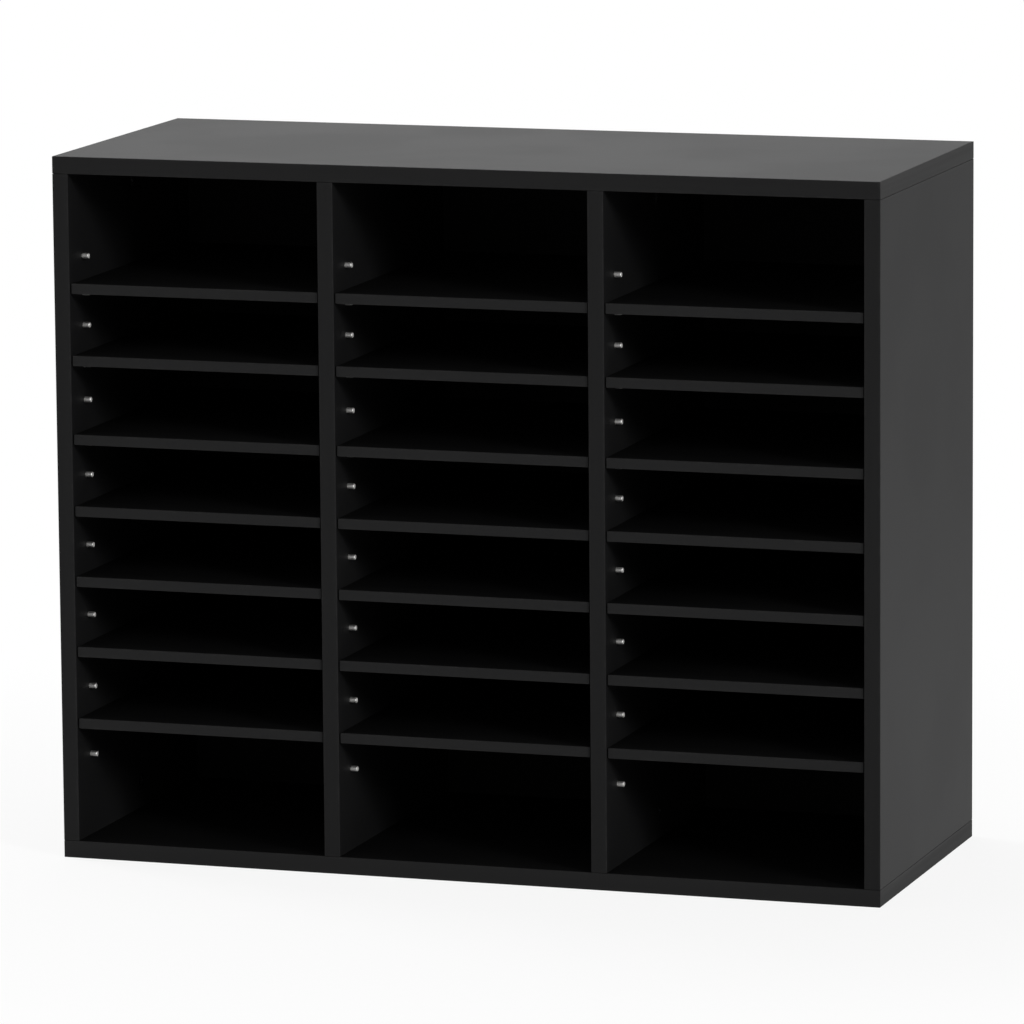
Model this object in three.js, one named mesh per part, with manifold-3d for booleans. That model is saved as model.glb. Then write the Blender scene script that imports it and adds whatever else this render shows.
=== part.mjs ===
// Pigeonhole mail sorter: a black board cabinet with three columns of pigeonholes on loose shelves.
// Millimetres, +Z up, front towards -Y, origin at the middle of the footprint.

import * as THREE from 'three';
import { mergeVertices } from 'three/addons/utils/BufferGeometryUtils.js';
import Module from 'manifold-3d';

const wasm = await Module();
wasm.setup();

// Pigeonholes
const COLUMN_NAMES = ['left', 'centre', 'right'];
const PIGEONHOLE_WIDTH = 228;
// Clear height of each row, from the bottom row to the top row.
const PIGEONHOLE_HEIGHTS = [100, 54.5, 53, 53, 54, 60, 54, 95.5];

// Cabinet boards
const CABINET_DEPTH = 305;
const TOP_THICKNESS = 15;
const BOTTOM_THICKNESS = 15;
const SIDE_THICKNESS = 14;
const DIVIDER_THICKNESS = 14;

// Back panel, held in a groove that runs round the four outer boards
const BACK_THICKNESS = 3;
const BACK_INSET = 8;
const BACK_TONGUE = 6;
const GROOVE_CLEARANCE = 0.3;
const GROOVE_END_ROOM = 1;

// Shelves
const SHELF_THICKNESS = 9;
const SHELF_SETBACK = 2;
const SHELF_END_GAP = 1;
const SHELF_REAR_GAP = 1;
const SHELF_SEAT_GAP = 0.2;

// Shelf pins
const PIN_DIAMETER = 5;
const PIN_PROTRUSION = 6;
const PIN_SOCKET_DEPTH = 9;
const PIN_CHAMFER = 0.5;
const PIN_CLEARANCE = 0.3;
const FRONT_PIN_SETBACK = 32.5;
const REAR_PIN_SETBACK = 31;
// Height of the spare pins over the floor of each row, from the bottom row to the top row.
const SPARE_PIN_HEIGHTS = [72, 23.5, 23.5, 23.5, 23.5, 26.5, 23, 20.5];

// Cam locks, cam bolts and dowels that hold the uprights to the top and bottom boards
const CAM_DIAMETER = 15;
const CAM_BACKING = 2;
const CAM_FROM_END = 24;
const CAM_CLEARANCE = 0.3;
const CAM_DRIVE_LENGTH = 9;
const CAM_DRIVE_WIDTH = 1.8;
const CAM_DRIVE_DEPTH = 2;
const BOLT_DIAMETER = 5;
const BOLT_HEAD_DIAMETER = 7;
const BOLT_HEAD_LENGTH = 4;
const BOLT_GRIP = 10;
const DOWEL_DIAMETER = 8;
const DOWEL_GRIP = 10;
const DOWEL_OFFSET = 96;
const FASTENER_CLEARANCE = 0.3;

// Sides of the polygons that stand for round sections
const PIN_SIDES = 12;
const FIXED_PIN_SIDES = 8;
const CAM_SIDES = 24;
const FASTENER_SIDES = 12;

// Uprights from left to right, with the face that looks into a column and the face that holds the cam locks.
const LEFT_FACE = -1;
const RIGHT_FACE = 1;
const BOTH_FACES = 0;
const UPRIGHTS = [
  {
    name: 'left_side',
    thickness: SIDE_THICKNESS,
    innerFace: RIGHT_FACE,
    camFace: RIGHT_FACE,
    separatePins: true,
  },
  {
    name: 'left_divider',
    thickness: DIVIDER_THICKNESS,
    innerFace: BOTH_FACES,
    camFace: LEFT_FACE,
    separatePins: true,
  },
  {
    name: 'right_divider',
    thickness: DIVIDER_THICKNESS,
    innerFace: BOTH_FACES,
    camFace: RIGHT_FACE,
    separatePins: true,
  },
  {
    name: 'right_side',
    thickness: SIDE_THICKNESS,
    innerFace: LEFT_FACE,
    camFace: LEFT_FACE,
    separatePins: false,
  },
];

// Places worked out from the sizes
const boardsAcross = UPRIGHTS.reduce((sum, upright) => sum + upright.thickness, 0);
const cabinetWidth = boardsAcross + COLUMN_NAMES.length * PIGEONHOLE_WIDTH;
let nextFace = -cabinetWidth / 2;
for (const upright of UPRIGHTS) {
  upright.x = nextFace + upright.thickness / 2;
  nextFace += upright.thickness + PIGEONHOLE_WIDTH;
}
const innerWidth = cabinetWidth - 2 * SIDE_THICKNESS;

const rowFloors = [];
let ceiling = BOTTOM_THICKNESS;
for (const height of PIGEONHOLE_HEIGHTS) {
  const floor = rowFloors.length === 0 ? ceiling : ceiling + SHELF_THICKNESS;
  rowFloors.push(floor);
  ceiling = floor + height;
}
const uprightBottom = BOTTOM_THICKNESS;
const uprightTop = ceiling;
const shelfUndersides = rowFloors.slice(1).map((floor) => floor - SHELF_THICKNESS);

const frontY = -CABINET_DEPTH / 2;
const rearY = CABINET_DEPTH / 2;
const backRearY = rearY - BACK_INSET;
const backFrontY = backRearY - BACK_THICKNESS;
const frontPinY = frontY + FRONT_PIN_SETBACK;
const rearPinY = backFrontY - REAR_PIN_SETBACK;
const grooveDepth = BACK_TONGUE + GROOVE_END_ROOM;
const grooveFrontY = backFrontY - GROOVE_CLEARANCE;
const grooveRearY = backRearY + GROOVE_CLEARANCE;

const carrierLevels = shelfUndersides.map((underside) => underside - SHELF_SEAT_GAP - PIN_DIAMETER / 2);
const spareLevels = rowFloors.map((floor, row) => floor + SPARE_PIN_HEIGHTS[row]);

// Finishes
const boardFinish = { color: 0x1d1d1f, roughness: 0.42, metalness: 0 };
const shelfFinish = { color: 0x202022, roughness: 0.45, metalness: 0 };
const backFinish = { color: 0x161616, roughness: 0.7, metalness: 0 };
const pinFinish = { color: 0xc4c6c8, roughness: 0.28, metalness: 1 };
const camFinish = { color: 0x2a2a2c, roughness: 0.4, metalness: 0.8 };

// A block between two opposite corners.
function block(x0, x1, y0, y1, z0, z1) {
  const geometry = new THREE.BoxGeometry(x1 - x0, y1 - y0, z1 - z0);
  return geometry.translate((x0 + x1) / 2, (y0 + y1) / 2, (z0 + z1) / 2);
}

// A turned solid about Y from its diameters and heights. The flats, not the corners, lie at the diameters.
function turned(section, sides) {
  const halfStep = Math.PI / sides;
  const points = section.map(([diameter, y]) => new THREE.Vector2(diameter / 2 / Math.cos(halfStep), y));
  return new THREE.LatheGeometry(points, sides, halfStep);
}

function rod(diameter, from, to, sides) {
  return turned([[0, from], [diameter, from], [diameter, to], [0, to]], sides);
}

function rodAlongX(diameter, from, to, y, z, sides) {
  return rod(diameter, from, to, sides).rotateZ(-Math.PI / 2).translate(0, y, z);
}

function rodAlongZ(diameter, from, to, x, y, sides) {
  return rod(diameter, from, to, sides).rotateX(Math.PI / 2).translate(x, y, 0);
}

function toSolid(geometry) {
  geometry.deleteAttribute('normal');
  geometry.deleteAttribute('uv');
  const merged = mergeVertices(geometry);
  return new wasm.Manifold(new wasm.Mesh({
    numProp: 3,
    vertProperties: merged.attributes.position.array,
    triVerts: new Uint32Array(merged.index.array),
  }));
}

function toGeometry(solid) {
  const { vertProperties, triVerts } = solid.getMesh();
  const geometry = new THREE.BufferGeometry();
  geometry.setAttribute('position', new THREE.BufferAttribute(vertProperties, 3));
  geometry.setIndex(new THREE.BufferAttribute(triVerts, 1));
  geometry.computeVertexNormals();
  return geometry;
}

// The body without the cuts, and with what is joined to it.
function shaped(body, cuts, joins) {
  const opened = cuts.reduce((solid, cut) => solid.subtract(toSolid(cut)), toSolid(body));
  return toGeometry(joins.reduce((solid, join) => solid.add(toSolid(join)), opened));
}

function piece(name, geometry, finish) {
  const mesh = new THREE.Mesh(geometry, new THREE.MeshStandardMaterial(finish));
  mesh.name = name;
  return mesh;
}

function rising(a, b) {
  return a < b ? [a, b] : [b, a];
}

// Where a pin starts and ends across an upright: it goes right through a divider and into a socket of a side.
function pinSpan(upright) {
  const face = upright.thickness / 2;
  const reach = face + PIN_PROTRUSION;
  if (upright.innerFace === BOTH_FACES) {
    return [-reach, reach];
  }
  return rising(upright.innerFace * (face - PIN_SOCKET_DEPTH), upright.innerFace * reach);
}

// The end that stands out of a wall, with its rim chamfered.
function pinEnd(face) {
  const tip = face + PIN_PROTRUSION;
  return [
    [PIN_DIAMETER, tip - PIN_CHAMFER],
    [PIN_DIAMETER - 2 * PIN_CHAMFER, tip],
    [0, tip],
  ];
}

function mirrored(section) {
  return section.map(([diameter, y]) => [diameter, -y]).reverse();
}

// A pin with such an end at each wall that it stands out of.
function shelfPin(upright, sides) {
  const face = upright.thickness / 2;
  const socketEnd = face - PIN_SOCKET_DEPTH;
  const end = pinEnd(face);
  const blindEnd = [[0, socketEnd], [PIN_DIAMETER, socketEnd]];
  const otherEnd = upright.innerFace === BOTH_FACES ? mirrored(end) : blindEnd;
  const section = [...otherEnd, ...end];
  const facing = upright.innerFace === LEFT_FACE ? mirrored(section) : section;
  return turned(facing, sides).rotateZ(-Math.PI / 2);
}

// A pin that is part of its upright.
function fixedPin(upright, y, z) {
  return shelfPin(upright, FIXED_PIN_SIDES).translate(0, y, z);
}

function pinSocket(upright, z) {
  const [from, to] = pinSpan(upright);
  const diameter = PIN_DIAMETER + 2 * PIN_CLEARANCE;
  return rodAlongX(diameter, from - PIN_CLEARANCE, to + PIN_CLEARANCE, frontPinY, z, PIN_SIDES);
}

// The two ends of an upright: the height of the end, and the way out of the upright there.
const uprightEnds = [
  { name: 'bottom', z: uprightBottom, out: -1 },
  { name: 'top', z: uprightTop, out: 1 },
];

// A span across the upright from just outside the cam's face to a depth below it.
function camSpan(upright, depth, outside) {
  const face = upright.thickness / 2;
  return rising(upright.camFace * (face + outside), upright.camFace * (face - depth));
}

// The cam goes into the upright until this much of the board is left behind its bore.
function camDepth(upright) {
  return upright.thickness - CAM_BACKING - CAM_CLEARANCE;
}

function camBore(upright, end) {
  const diameter = CAM_DIAMETER + 2 * CAM_CLEARANCE;
  const [from, to] = camSpan(upright, camDepth(upright) + CAM_CLEARANCE, CAM_CLEARANCE);
  return rodAlongX(diameter, from, to, 0, end.z - end.out * CAM_FROM_END, CAM_SIDES);
}

// The head lies in the cam's slot, and the shank runs out of the upright's end into the board.
function camBolt(end) {
  const camZ = end.z - end.out * CAM_FROM_END;
  const headEnd = camZ + end.out * BOLT_HEAD_LENGTH / 2;
  const headStart = camZ - end.out * BOLT_HEAD_LENGTH / 2;
  const tip = end.z + end.out * BOLT_GRIP;
  return [
    rodAlongZ(BOLT_HEAD_DIAMETER, ...rising(headStart, headEnd), 0, 0, FASTENER_SIDES),
    rodAlongZ(BOLT_DIAMETER, ...rising(camZ, tip), 0, 0, FASTENER_SIDES),
  ];
}

function dowels(end) {
  const root = end.z - end.out * DOWEL_GRIP;
  const tip = end.z + end.out * DOWEL_GRIP;
  return [-DOWEL_OFFSET, DOWEL_OFFSET].map(
    (y) => rodAlongZ(DOWEL_DIAMETER, ...rising(root, tip), 0, y, FASTENER_SIDES),
  );
}

function backGroove(upright) {
  const face = upright.thickness / 2;
  const [from, to] = rising(upright.innerFace * (face - grooveDepth), upright.innerFace * face);
  return block(from, to, grooveFrontY, grooveRearY, uprightBottom, uprightTop);
}

// A side runs past the back panel and is grooved for it, and a divider stops in front of it.
function uprightBoard(upright) {
  const face = upright.thickness / 2;
  const isDivider = upright.innerFace === BOTH_FACES;
  const body = block(-face, face, frontY, isDivider ? grooveFrontY : rearY, uprightBottom, uprightTop);
  const cuts = uprightEnds.map((end) => camBore(upright, end));
  const joins = uprightEnds.flatMap((end) => [...camBolt(end), ...dowels(end)]);
  if (!isDivider) {
    cuts.push(backGroove(upright));
  }
  for (const level of carrierLevels) {
    joins.push(fixedPin(upright, frontPinY, level));
    joins.push(fixedPin(upright, rearPinY, level));
  }
  for (const level of spareLevels) {
    if (upright.separatePins) {
      cuts.push(pinSocket(upright, level));
    } else {
      joins.push(fixedPin(upright, frontPinY, level));
    }
  }
  return shaped(body, cuts, joins);
}

// The slot, open at the rim and the inner end, goes over the bolt's head. The cross takes a screwdriver.
function camLock(upright, end) {
  const [from, to] = camSpan(upright, camDepth(upright), 0);
  const body = rodAlongX(CAM_DIAMETER, from, to, 0, 0, CAM_SIDES);
  const halfSlot = BOLT_HEAD_DIAMETER / 2 + FASTENER_CLEARANCE;
  const slotEnd = -end.out * (BOLT_HEAD_LENGTH / 2 + FASTENER_CLEARANCE);
  const [slotLow, slotHigh] = rising(slotEnd, end.out * CAM_DIAMETER);
  const [slotFrom, slotTo] = rising(upright.camFace * halfSlot, -upright.camFace * upright.thickness);
  const slot = block(slotFrom, slotTo, -halfSlot, halfSlot, slotLow, slotHigh);
  const [driveFrom, driveTo] = camSpan(upright, CAM_DRIVE_DEPTH, CAM_CLEARANCE);
  const longHalf = CAM_DRIVE_LENGTH / 2;
  const shortHalf = CAM_DRIVE_WIDTH / 2;
  const cross = [
    block(driveFrom, driveTo, -longHalf, longHalf, -shortHalf, shortHalf),
    block(driveFrom, driveTo, -shortHalf, shortHalf, -longHalf, longHalf),
  ];
  return shaped(body, [slot, ...cross], []);
}

// Blind holes for the dowels and bolts at the ends of the uprights, in the board's inner face.
function fastenerHoles(end) {
  const over = 2 * FASTENER_CLEARANCE;
  const hole = (diameter, grip, x, y) => {
    const depth = end.z + end.out * (grip + FASTENER_CLEARANCE);
    return rodAlongZ(diameter + over, ...rising(end.z, depth), x, y, FASTENER_SIDES);
  };
  return UPRIGHTS.flatMap(({ x }) => [
    hole(DOWEL_DIAMETER, DOWEL_GRIP, x, -DOWEL_OFFSET),
    hole(BOLT_DIAMETER, BOLT_GRIP, x, 0),
    hole(DOWEL_DIAMETER, DOWEL_GRIP, x, DOWEL_OFFSET),
  ]);
}

function levelBoard(end, thickness) {
  const halfWidth = cabinetWidth / 2;
  const [from, to] = rising(end.z, end.z + end.out * thickness);
  const body = block(-halfWidth, halfWidth, frontY, rearY, from, to);
  const grooveHalf = innerWidth / 2 + grooveDepth;
  const [grooveLow, grooveHigh] = rising(end.z, end.z + end.out * grooveDepth);
  const groove = block(-grooveHalf, grooveHalf, grooveFrontY, grooveRearY, grooveLow, grooveHigh);
  return shaped(body, [groove, ...fastenerHoles(end)], []);
}

function backPanel() {
  const halfWidth = innerWidth / 2 + BACK_TONGUE;
  const low = uprightBottom - BACK_TONGUE;
  const high = uprightTop + BACK_TONGUE;
  return block(-halfWidth, halfWidth, backFrontY, backRearY, low, high);
}

function shelf() {
  const halfLength = PIGEONHOLE_WIDTH / 2 - SHELF_END_GAP;
  const front = frontY + SHELF_SETBACK;
  const rear = backFrontY - SHELF_REAR_GAP;
  return block(-halfLength, halfLength, front, rear, 0, SHELF_THICKNESS);
}

// The carcass: top, bottom and back, then the uprights with their pins and cam locks
const sorter = new THREE.Group();
const carcass = new THREE.Group();
sorter.add(carcass);

const [bottomEnd, topEnd] = uprightEnds;
carcass.add(piece('bottom_panel', levelBoard(bottomEnd, BOTTOM_THICKNESS), boardFinish));
carcass.add(piece('top_panel', levelBoard(topEnd, TOP_THICKNESS), boardFinish));
carcass.add(piece('back_panel', backPanel(), backFinish));

for (const upright of UPRIGHTS) {
  const stand = new THREE.Group();
  stand.position.x = upright.x;
  stand.add(piece(upright.name, uprightBoard(upright), boardFinish));
  if (upright.separatePins) {
    for (const [row, level] of spareLevels.entries()) {
      const name = `spare_pin_${upright.name}_${row + 1}`;
      const sparePin = piece(name, shelfPin(upright, PIN_SIDES), pinFinish);
      sparePin.position.set(0, frontPinY, level);
      stand.add(sparePin);
    }
  }
  for (const end of uprightEnds) {
    const cam = piece(`cam_lock_${upright.name}_${end.name}`, camLock(upright, end), camFinish);
    cam.position.z = end.z - end.out * CAM_FROM_END;
    stand.add(cam);
  }
  carcass.add(stand);
}

// The loose shelves, numbered from the bottom of each column
for (const [index, columnName] of COLUMN_NAMES.entries()) {
  const column = new THREE.Group();
  const wall = UPRIGHTS[index];
  column.position.x = wall.x + wall.thickness / 2 + PIGEONHOLE_WIDTH / 2;
  for (const [row, underside] of shelfUndersides.entries()) {
    const board = piece(`shelf_${columnName}_${row + 1}`, shelf(), shelfFinish);
    board.position.z = underside;
    column.add(board);
  }
  sorter.add(column);
}

export default sorter;
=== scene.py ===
"""Pigeonhole mail sorter: black faced boards, loose shelves on nickel pins, cam locks and a hardboard back.

Metres, +Z up, front towards -Y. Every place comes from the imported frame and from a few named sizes.
"""

import logging
import math
from abc import ABC, abstractmethod
from collections.abc import Callable, Iterator, Sequence
from contextlib import contextmanager
from dataclasses import dataclass
from enum import Enum
from itertools import pairwise
from typing import NamedTuple

import bmesh
import bpy
from mathutils import Matrix, Quaternion, Vector


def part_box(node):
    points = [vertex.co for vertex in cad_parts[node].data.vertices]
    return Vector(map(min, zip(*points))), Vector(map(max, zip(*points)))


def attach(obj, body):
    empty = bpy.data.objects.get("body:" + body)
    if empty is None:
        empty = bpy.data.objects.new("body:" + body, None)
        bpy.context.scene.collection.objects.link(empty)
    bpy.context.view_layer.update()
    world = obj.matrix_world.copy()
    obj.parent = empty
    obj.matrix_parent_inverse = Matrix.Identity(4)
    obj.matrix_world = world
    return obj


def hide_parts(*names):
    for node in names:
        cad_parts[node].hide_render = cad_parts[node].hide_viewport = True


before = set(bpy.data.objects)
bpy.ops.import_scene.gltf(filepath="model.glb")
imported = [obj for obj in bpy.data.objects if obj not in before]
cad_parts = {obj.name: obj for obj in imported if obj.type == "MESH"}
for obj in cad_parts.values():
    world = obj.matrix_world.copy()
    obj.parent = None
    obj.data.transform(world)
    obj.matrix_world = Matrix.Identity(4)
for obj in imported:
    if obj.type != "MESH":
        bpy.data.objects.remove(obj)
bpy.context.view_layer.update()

LOG = logging.getLogger("sorter")
MM = 0.001
CABINET = "cabinet"
WEAR = "edge_wear"
AXES = range(3)
# Lays a round primitive's axis along X.
ALONG_X = (0.0, math.pi / 2, 0.0)
# Points that differ by less than this along an axis lie in one plane.
FLATNESS = 0.03 * MM
# A face looks along a direction where its normal has at least this share of it.
SQUARE_ON = 0.99
# A Wave Texture turns through this many radians in a unit of its scaled point.
WAVE_RADIANS = 20.0
FULL_RANGE = (0.0, 1.0)
WHITE = (1.0, 1.0, 1.0, 1.0)

Colour = tuple[float, float, float, float]
Point = tuple[float, float, float]
Span = tuple[float, float]


class Side(Enum):
    """A face of a board: its axis, and the way it looks along that axis."""

    LEFT = (0, -1)
    RIGHT = (0, 1)
    FRONT = (1, -1)
    REAR = (1, 1)
    UNDER = (2, -1)
    OVER = (2, 1)

    @property
    def axis(self) -> int:
        """The axis that the face looks along, from 0 to 2."""
        return self.value[0]

    @property
    def way(self) -> int:
        """1 where the face looks up its axis, and -1 where it looks down it."""
        return self.value[1]

    @property
    def normal(self) -> Vector:
        """The direction that the face looks in."""
        return Vector([self.way if axis == self.axis else 0.0 for axis in AXES])


class End(Enum):
    """The ends of an upright."""

    BOTTOM = "bottom"
    TOP = "top"


class Pick(Enum):
    """The kind of mesh element that a modelling step selects."""

    VERTS = "VERT"
    FACES = "FACE"


class Slot(Enum):
    """The record's material slots."""

    LAMINATE = "board_laminate"
    HARDBOARD = "back_hardboard"
    STEEL = "pin_steel"
    ZINC = "cam_zinc"


class Socket(Enum):
    """The kinds of input that an effect takes."""

    NUMBER = "NodeSocketFloat"
    VECTOR = "NodeSocketVector"


@dataclass(frozen=True)
class Block:
    """The space that a board fills, between its lowest and highest corners."""

    low: Vector
    high: Vector

    @property
    def centre(self) -> Vector:
        """The middle of the block."""
        return (self.low + self.high) / 2

    @property
    def size(self) -> Vector:
        """The block's lengths along X, Y and Z."""
        return self.high - self.low

    def face(self, side: Side) -> float:
        """Where the face on a side lies along its axis."""
        return (self.high if side.way > 0 else self.low)[side.axis]

    def edge_distance(self, point: Vector) -> float:
        """How far a point of the block's skin lies from the nearest edge."""
        gaps = [min(abs(point[axis] - self.low[axis]), abs(self.high[axis] - point[axis])) for axis in AXES]
        return sorted(gaps)[1]


def node_block(node: str) -> Block:
    """The box of a node of the frame."""
    return Block(*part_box(node))


# Modelling steps that every sub-assembly uses


def select_only(piece: bpy.types.Object) -> None:
    """Selects one piece, makes it active and deselects the rest.

    Args:
        piece: The piece to select.
    """
    bpy.ops.object.select_all(action="DESELECT")
    piece.select_set(True)
    bpy.context.view_layer.objects.active = piece


def add_primitive(name: str, operator: Callable[..., set[str]], **settings: object) -> bpy.types.Object:
    """Adds a primitive, and puts its place, turn and scale into its mesh.

    Args:
        name: The new piece's name.
        operator: The operator that adds the primitive.
        **settings: The operator's settings.

    Returns:
        The new piece, at the origin and unturned.
    """
    bpy.ops.object.select_all(action="DESELECT")
    operator(**settings)
    piece = bpy.context.active_object
    piece.name = name
    piece.data.name = name
    select_only(piece)
    bpy.ops.object.transform_apply(location=True, rotation=True, scale=True)
    return piece


@contextmanager
def edit_mode(piece: bpy.types.Object) -> Iterator[None]:
    """Opens a piece in edit mode, and closes it again.

    Args:
        piece: The piece to edit.

    Yields:
        Nothing, while the piece is open.
    """
    select_only(piece)
    bpy.ops.object.mode_set(mode="EDIT")
    yield
    bpy.ops.object.mode_set(mode="OBJECT")


def pick(piece: bpy.types.Object, kind: Pick, test: Callable[..., bool]) -> None:
    """Selects the elements of a piece in edit mode that pass a test, and no others.

    Args:
        piece: The piece that is in edit mode.
        kind: Whether vertices or faces are selected.
        test: Takes one element and says whether it is selected.
    """
    bpy.ops.mesh.select_mode(type=kind.value)
    bpy.ops.mesh.select_all(action="DESELECT")
    mesh = bmesh.from_edit_mesh(piece.data)
    for element in mesh.verts if kind is Pick.VERTS else mesh.faces:
        if test(element):
            element.select_set(True)
    mesh.select_flush_mode()
    bmesh.update_edit_mesh(piece.data)


def add_block(name: str, block: Block) -> bpy.types.Object:
    """Adds a cube at the size and place of a block.

    Args:
        name: The piece's name.
        block: The space that the cube fills.

    Returns:
        The new piece.
    """
    cube = bpy.ops.mesh.primitive_cube_add
    return add_primitive(name, cube, size=1.0, location=block.centre, scale=block.size)


def add_rod(name: str, diameter: float, ends: Span, middle: Span, sides: int) -> bpy.types.Object:
    """Adds a cylinder along X.

    Args:
        name: The piece's name.
        diameter: The cylinder's diameter.
        ends: The X of its two ends, the lower one first.
        middle: The Y and Z of its axis.
        sides: How many sides stand for the round.

    Returns:
        The new piece.
    """
    return add_primitive(
        name,
        bpy.ops.mesh.primitive_cylinder_add,
        vertices=sides,
        radius=diameter / 2,
        depth=ends[1] - ends[0],
        location=(sum(ends) / 2, *middle),
        rotation=ALONG_X,
    )


def apply_modifier(piece: bpy.types.Object, kind: str, **settings: object) -> None:
    """Adds a modifier to a piece and applies it.

    Args:
        piece: The piece to change.
        kind: The modifier's type.
        **settings: The modifier's settings.
    """
    select_only(piece)
    modifier = piece.modifiers.new(kind.title(), kind)
    for setting, value in settings.items():
        setattr(modifier, setting, value)
    bpy.ops.object.modifier_apply(modifier=modifier.name)


def join_pieces(pieces: Sequence[bpy.types.Object]) -> bpy.types.Object:
    """Joins pieces into the first of them.

    Args:
        pieces: The pieces to join, at least one.

    Returns:
        The first piece, which now holds them all.
    """
    select_only(pieces[0])
    for piece in pieces[1:]:
        piece.select_set(True)
    bpy.ops.object.join()
    return pieces[0]


def cut(piece: bpy.types.Object, cutters: Sequence[bpy.types.Object]) -> None:
    """Cuts the shapes of cutters out of a piece, and deletes the cutters.

    Args:
        piece: The piece to cut.
        cutters: Closed shapes that don't overlap each other.
    """
    cutter = join_pieces(cutters)
    apply_modifier(piece, "BOOLEAN", operation="DIFFERENCE", solver="EXACT", object=cutter)
    bpy.data.objects.remove(cutter)


def copy_piece(source: bpy.types.Object, name: str, place: Matrix) -> bpy.types.Object:
    """Copies a modelled piece, with a mesh of its own, to another place.

    Args:
        source: The piece that was modelled.
        name: The copy's name.
        place: How the copy lies relative to the source.

    Returns:
        The copy.
    """
    copy = source.copy()
    copy.data = source.data.copy()
    copy.name = name
    copy.data.name = name
    copy.data.transform(place)
    bpy.context.scene.collection.objects.link(copy)
    return copy


def round_edges(piece: bpy.types.Object, width: float, steps: int, sharp_degrees: float) -> None:
    """Rounds a piece's sharp edges.

    Args:
        piece: The piece to round.
        width: How wide each round is.
        steps: How many steps each round has.
        sharp_degrees: Edges that turn more than this are rounded.
    """
    limit = math.radians(sharp_degrees)
    apply_modifier(piece, "BEVEL", width=width, segments=steps, limit_method="ANGLE", angle_limit=limit)


def smooth_rounds(piece: bpy.types.Object, sharp_degrees: float) -> None:
    """Shades a piece smooth over its rounds and flat over its faces.

    Args:
        piece: The piece to shade.
        sharp_degrees: Edges that turn more than this stay sharp.
    """
    select_only(piece)
    bpy.ops.object.shade_smooth_by_angle(angle=math.radians(sharp_degrees))
    apply_modifier(piece, "WEIGHTED_NORMAL", keep_sharp=True)


def mark_wear(piece: bpy.types.Object, rubbed: Callable[[Vector], float]) -> None:
    """Stores how rubbed each point of a piece is.

    Args:
        piece: The piece to mark.
        rubbed: Takes a point and says how rubbed it is, from 0 to 1.
    """
    attribute = piece.data.attributes.new(WEAR, "FLOAT", "POINT")
    for vert, mark in zip(piece.data.vertices, attribute.data):
        mark.value = rubbed(vert.co)


def hand_in(piece: bpy.types.Object, body: str, slot: Slot, *nodes: str) -> None:
    """Seats a finished piece on its body, and hides the nodes of the frame that it stands for.

    Args:
        piece: The finished piece.
        body: The body that it rides on.
        slot: The record's slot that it takes its finish from; not used.
        *nodes: The nodes of the frame that it replaces.
    """
    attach(piece, body)
    if nodes:
        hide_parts(*nodes)
    LOG.info("%s: %d faces on %s", piece.name, len(piece.data.polygons), body)


# Node sheets and the effects that the finishes share


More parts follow.
